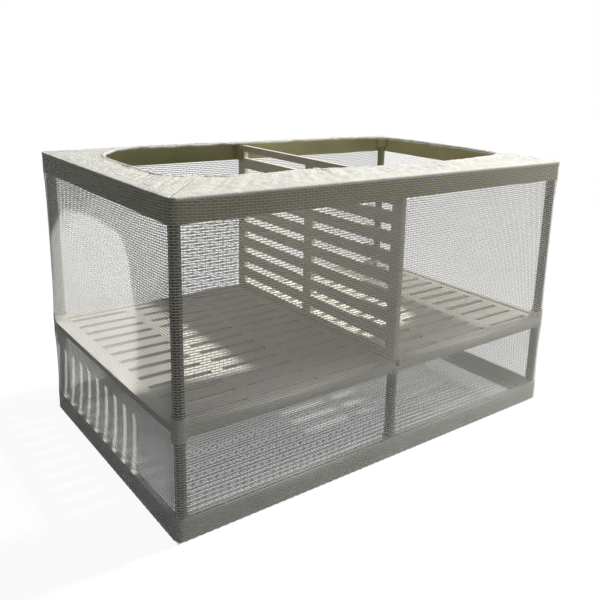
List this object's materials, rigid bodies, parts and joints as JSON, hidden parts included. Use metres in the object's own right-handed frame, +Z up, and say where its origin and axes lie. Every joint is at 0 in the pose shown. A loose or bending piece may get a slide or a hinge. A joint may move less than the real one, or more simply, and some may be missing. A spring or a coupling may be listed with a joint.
{
  "type": "fish breeding box",
  "caption": "Two-storey net breeding box: plastic rings and posts in a fine mesh bag with a gathered top edge, slotted deck grids and a lift-out slotted divider.",
  "frame": {"origin": "middle of the footprint, on the surface that the box stands on", "axes": "+X along the length, towards the right side; the front long side faces -Y; +Z up"},
  "size_m": [0.245, 0.155, 0.148],
  "materials": {
    "frame_plastic": "moulded cream-white plastic, satin, with faint flow marks",
    "post_plastic": "moulded cream-white plastic, satin",
    "divider_plastic": "moulded cream-white plastic, satin, slotted",
    "grid_plastic": "moulded cream-white plastic, satin, slotted",
    "net_mesh": "fine white nylon mesh, stretched",
    "net_border": "the same nylon mesh, doubled and gathered in small crumples",
    "elastic_hem": "rolled fabric tunnel over elastic, stitched"
  },
  "bodies": {
    "box": {"top_frame": "frame_plastic", "deck_frame": "frame_plastic", "bottom_frame": "frame_plastic", "upper_post_front_left": "post_plastic", "upper_post_front_right": "post_plastic", "upper_post_rear_left": "post_plastic", "upper_post_rear_right": "post_plastic", "lower_post_front_left": "post_plastic", "lower_post_front_right": "post_plastic", "lower_post_rear_left": "post_plastic", "lower_post_rear_right": "post_plastic", "lower_post_front_middle": "post_plastic", "lower_post_rear_middle": "post_plastic", "net_front": "net_mesh", "net_rear": "net_mesh", "net_left": "net_mesh", "net_right": "net_mesh", "net_floor": "net_mesh", "border_front": "net_border", "border_rear": "net_border", "border_left": "net_border", "border_right": "net_border", "hem_front": "elastic_hem", "hem_rear": "elastic_hem", "hem_left": "elastic_hem", "hem_right": "elastic_hem"},
    "divider": {"divider": "divider_plastic"},
    "left_deck_grid": {"left_deck_grid": "grid_plastic"},
    "right_deck_grid": {"right_deck_grid": "grid_plastic"}
  },
  "joints": [
    {"name": "divider_lift", "type": "slide", "parent": "box", "child": "divider", "axis": [0, 0, 1], "range_m": [0, 0.1], "deforming": ["border_front", "hem_front", "border_rear", "hem_rear", "border_left", "hem_left", "border_right", "hem_right"]},
    {"name": "left_grid_lift", "type": "slide", "parent": "box", "child": "left_deck_grid", "axis": [0, 0, 1], "range_m": [0, 0.083]},
    {"name": "right_grid_lift", "type": "slide", "parent": "box", "child": "right_deck_grid", "axis": [0, 0, 1], "range_m": [0, 0.083]}
  ]
}
